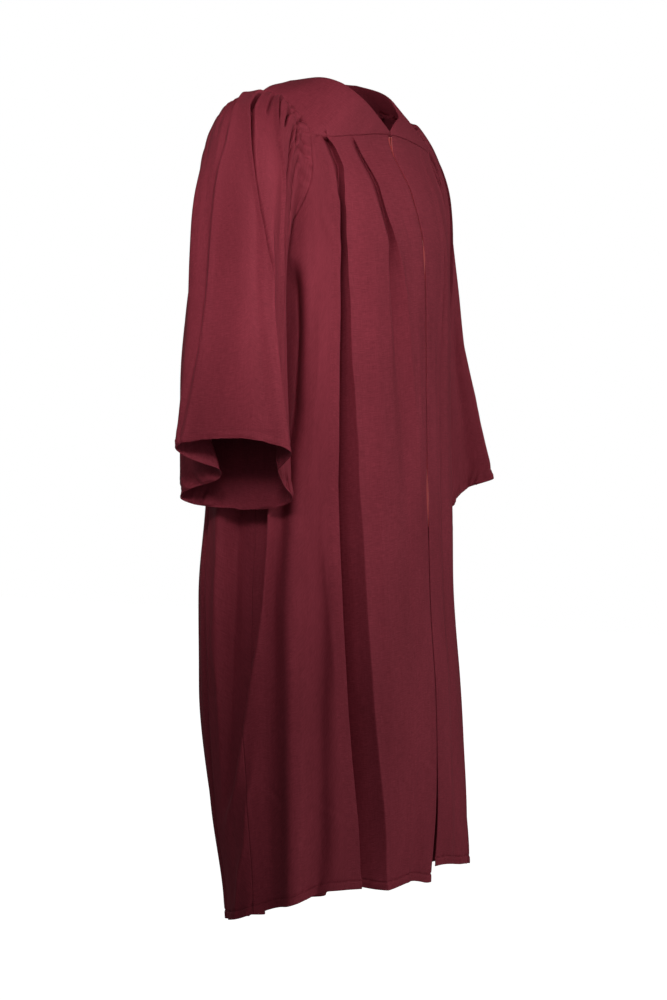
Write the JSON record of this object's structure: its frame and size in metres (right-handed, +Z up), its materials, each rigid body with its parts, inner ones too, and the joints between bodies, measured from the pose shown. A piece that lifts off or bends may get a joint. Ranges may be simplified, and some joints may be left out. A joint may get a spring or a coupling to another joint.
{
  "type": "choir robe",
  "caption": "Full-length zip-front robe with a smooth yoke, pleated fronts and wide gathered sleeves, in its filled hanging shape.",
  "frame": {"origin": "between the shoulders, at the level where the yoke rests on whatever holds it up", "axes": "+Z up; +Y towards the back, so the front faces -Y; +X towards the wearer's left"},
  "size_m": [0.724, 0.3903, 1.371],
  "materials": {
    "robe_cloth": "matt satin polyester, deep maroon",
    "zip_tape": "woven red tape",
    "zip_coil": "red nylon coil",
    "zip_slider": "red enamelled metal"
  },
  "bodies": {
    "root": {"yoke_front_right": "robe_cloth", "yoke_front_left": "robe_cloth", "yoke_back": "robe_cloth", "front_right": "robe_cloth", "front_left": "robe_cloth", "back": "robe_cloth", "sleeve_right": "robe_cloth", "sleeve_left": "robe_cloth", "zip_tape_right": "zip_tape", "zip_tape_left": "zip_tape", "zip_coil": "zip_coil", "zip_slider": "zip_slider", "zip_pull": "zip_slider"}
  },
  "joints": []
}
